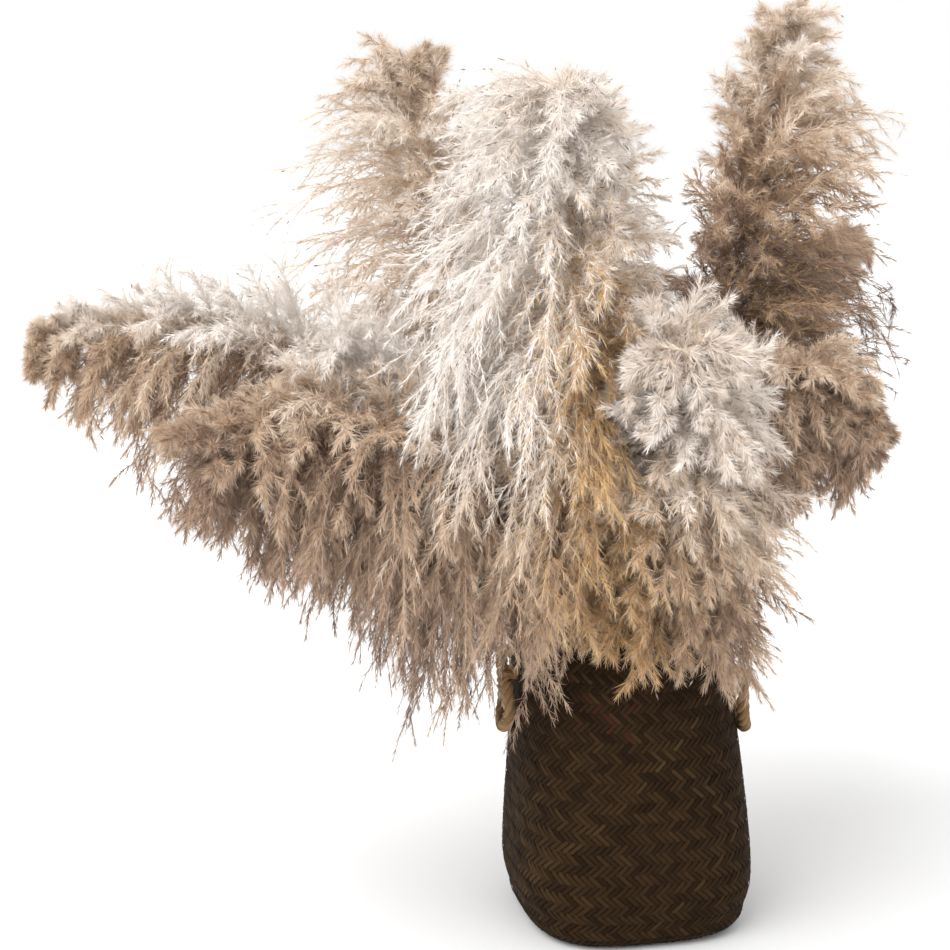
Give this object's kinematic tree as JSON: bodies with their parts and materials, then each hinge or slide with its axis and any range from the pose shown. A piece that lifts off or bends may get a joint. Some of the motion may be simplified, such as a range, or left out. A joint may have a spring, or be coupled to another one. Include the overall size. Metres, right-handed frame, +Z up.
{
  "type": "bundle of pampas grass in a woven basket",
  "caption": "Dried pampas grass culms with feathery drooping plumes, standing in a dark twill-woven belly basket with rope loop handles.",
  "frame": {"origin": "middle of the basket's flat foot, on the surface it stands on", "axes": "+Z up, -Y towards the front, +X to the right seen from the front"},
  "size_m": [0.8541, 0.5526, 0.914],
  "materials": {
    "seagrass": "matte",
    "rope": "matte",
    "culm": "satin",
    "plume_cream": "matte",
    "plume_rose": "matte",
    "plume_brown": "matte"
  },
  "bodies": {
    "root": {"basket_body": "seagrass", "basket_rim": "seagrass", "handle_left": "rope", "handle_right": "rope", "stem_front": "culm", "stem_front_right": "culm", "stem_right": "culm", "stem_back_right": "culm", "stem_back_left": "culm", "stem_left": "culm", "stem_front_left": "culm", "stem_back": "culm", "stem_far_right": "culm", "plume_front": "plume_cream", "plume_front_right": "plume_cream", "plume_right": "plume_rose", "plume_back_right": "plume_rose", "plume_back_left": "plume_rose", "plume_left": "plume_brown", "plume_front_left": "plume_brown", "plume_back": "plume_rose", "plume_far_right": "plume_rose"}
  },
  "joints": []
}
